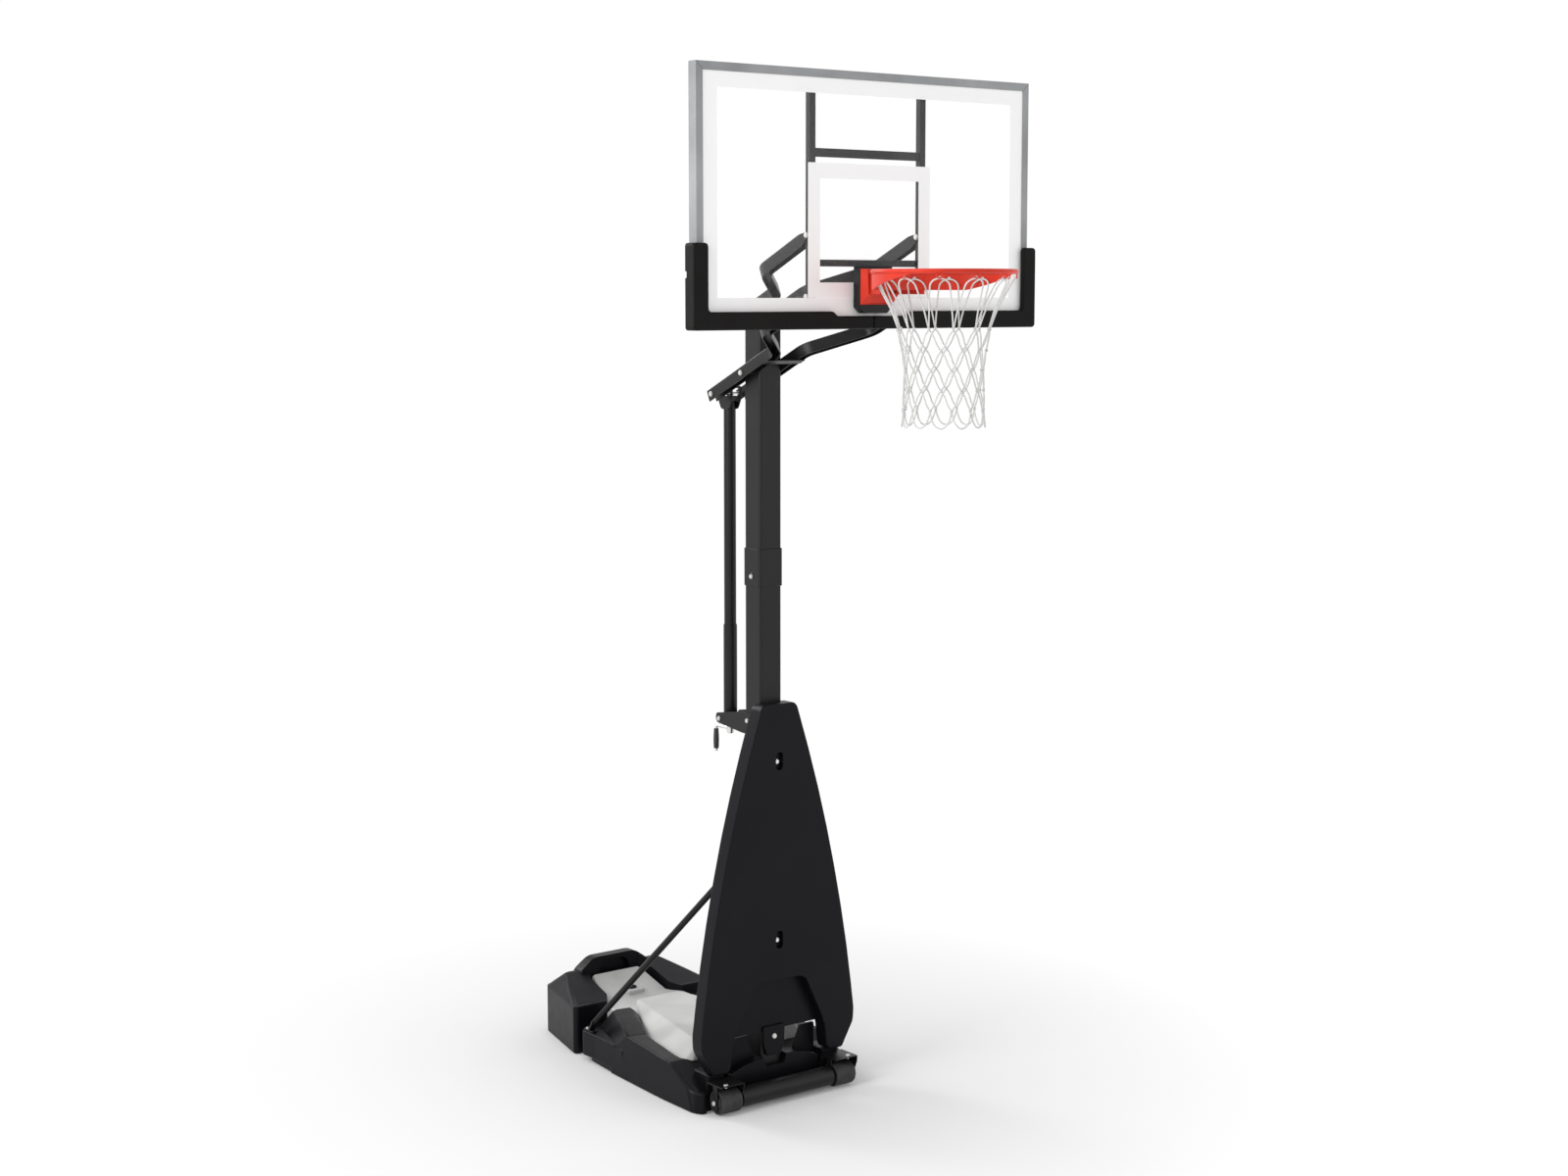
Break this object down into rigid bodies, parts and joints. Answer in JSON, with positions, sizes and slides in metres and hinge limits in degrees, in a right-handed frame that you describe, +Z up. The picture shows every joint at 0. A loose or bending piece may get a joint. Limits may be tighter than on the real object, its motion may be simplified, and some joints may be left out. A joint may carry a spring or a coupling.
{
  "type": "portable basketball hoop",
  "caption": "Free-standing hoop: ballasted base on rollers, square pole, crank-lifted arms, framed clear backboard, breakaway rim and net.",
  "frame": {"origin": "on the floor under the pole's axis", "axes": "+Z up, -Y towards the court, +X to the right when facing the board from the court"},
  "size_m": [1.5, 2.3895, 3.709],
  "materials": {
    "black_plastic": "fine leather grain, blow-moulded",
    "board_pad": "matte moulded foam skin",
    "grey_plastic": "matte, blow-moulded",
    "black_metal": "satin powder coat",
    "frame_metal": "satin grey coat",
    "red_metal": "satin powder coat",
    "zinc": "bright zinc plate",
    "clear_sheet": "clear, polished, with opaque white printed border and target square",
    "rubber": "matte",
    "net_cord": "braided cord"
  },
  "bodies": {
    "base": {"base_vessel": "black_plastic", "ballast_tank": "grey_plastic", "wheel_bracket_left": "black_metal", "wheel_bracket_right": "black_metal", "bracket_bolt_left": "zinc", "bracket_bolt_right": "zinc", "axle": "zinc", "axle_tube": "black_metal", "front_cover": "black_plastic", "cover_bolt_upper": "zinc", "cover_bolt_lower": "zinc", "cover_bolt_foot": "zinc", "pole_lower": "black_metal", "pole_upper": "black_metal", "pole_collar": "black_metal", "collar_bolt": "zinc", "pole_cap": "black_plastic", "strut_left": "black_metal", "strut_right": "black_metal", "strut_bolt_left": "zinc", "strut_bolt_right": "zinc", "strut_head_bolt": "zinc", "jack_bracket": "black_metal", "bracket_bolt_upper": "zinc", "jack_pin_left": "zinc", "jack_pin_right": "zinc", "pole_bolt_lower": "zinc", "pole_bolt_upper": "zinc"},
    "cap": {"filler_cap": "black_plastic"},
    "left_roller": {"roller_left": "rubber"},
    "right_roller": {"roller_right": "rubber"},
    "lower_arms": {"lower_arm_left": "black_metal", "lower_arm_right": "black_metal", "cross_plate": "black_metal", "rear_bolt": "zinc"},
    "upper_arms": {"upper_arm_left": "black_metal", "upper_arm_right": "black_metal"},
    "board": {"frame_top": "frame_metal", "frame_bottom": "frame_metal", "frame_left": "frame_metal", "frame_right": "frame_metal", "backboard_sheet": "clear_sheet", "upright_left": "black_metal", "upright_right": "black_metal", "crossbar_upper": "black_metal", "crossbar_lower": "black_metal", "board_pad_left": "board_pad", "board_pad_right": "board_pad", "rim_box": "black_metal", "rim_cover": "red_metal", "board_bolt_lower_left": "zinc", "board_bolt_lower_right": "zinc", "board_bolt_upper_left": "zinc", "board_bolt_upper_right": "zinc"},
    "rim": {"rim_ring": "red_metal", "net": "net_cord"},
    "jack_outer": {"jack_tube": "black_metal"},
    "jack_inner": {"jack_rod": "black_metal"},
    "crank_body": {"crank": "zinc"},
    "grip": {"crank_grip": "rubber"}
  },
  "joints": [
    {"name": "lift", "type": "hinge", "parent": "base", "child": "lower_arms", "pos_m": [0, 0.022, 2.685], "axis": [1, 0, 0], "range_deg": [0, 71.2]},
    {"name": "upper_arm_swing", "type": "hinge", "parent": "base", "child": "upper_arms", "pos_m": [0, 0.022, 2.89], "axis": [1, 0, 0], "range_deg": [0, 71.5]},
    {"name": "board_level", "type": "hinge", "parent": "lower_arms", "child": "board", "pos_m": [0, -0.587, 2.958], "axis": [1, 0, 0], "range_deg": [-71.5, 0]},
    {"name": "rim_breakaway", "type": "hinge", "parent": "board", "child": "rim", "pos_m": [0, -0.6845, 2.955], "axis": [1, 0, 0], "range_deg": [0, 25], "stiffness_Nm_per_rad": 600, "springref_deg": -11.46},
    {"name": "jack_tilt", "type": "hinge", "parent": "base", "child": "jack_outer", "pos_m": [0, 0.2045, 1.392], "axis": [1, 0, 0], "range_deg": [0, 1.2]},
    {"name": "jack_extend", "type": "slide", "parent": "jack_outer", "child": "jack_inner", "axis": [0, 0, 1], "range_m": [0, 0.226]},
    {"name": "crank_turn", "type": "hinge", "parent": "jack_outer", "child": "crank_body", "pos_m": [0, 0.2045, 1.349], "axis": [0, 0, 1], "continuous": true},
    {"name": "grip_turn", "type": "hinge", "parent": "crank_body", "child": "grip", "pos_m": [0, 0.2965, 1.3], "axis": [0, 0, 1], "continuous": true},
    {"name": "left_roller_turn", "type": "hinge", "parent": "base", "child": "left_roller", "pos_m": [-0.2645, -0.126, 0.048], "axis": [1, 0, 0], "continuous": true},
    {"name": "right_roller_turn", "type": "hinge", "parent": "base", "child": "right_roller", "pos_m": [0.2645, -0.126, 0.048], "axis": [1, 0, 0], "continuous": true},
    {"name": "cap_lift", "type": "slide", "parent": "base", "child": "cap", "axis": [0, 0, 1], "range_m": [0, 0.06]}
  ],
  "couplings": [
    {"joint": "upper_arm_swing", "follows": "lift", "ratio": 1},
    {"joint": "board_level", "follows": "lift", "ratio": -1},
    {"joint": "jack_tilt", "follows": "lift", "ratio": 0.0133},
    {"joint": "jack_extend", "follows": "lift", "m_per_rad": 0.1804}
  ]
}
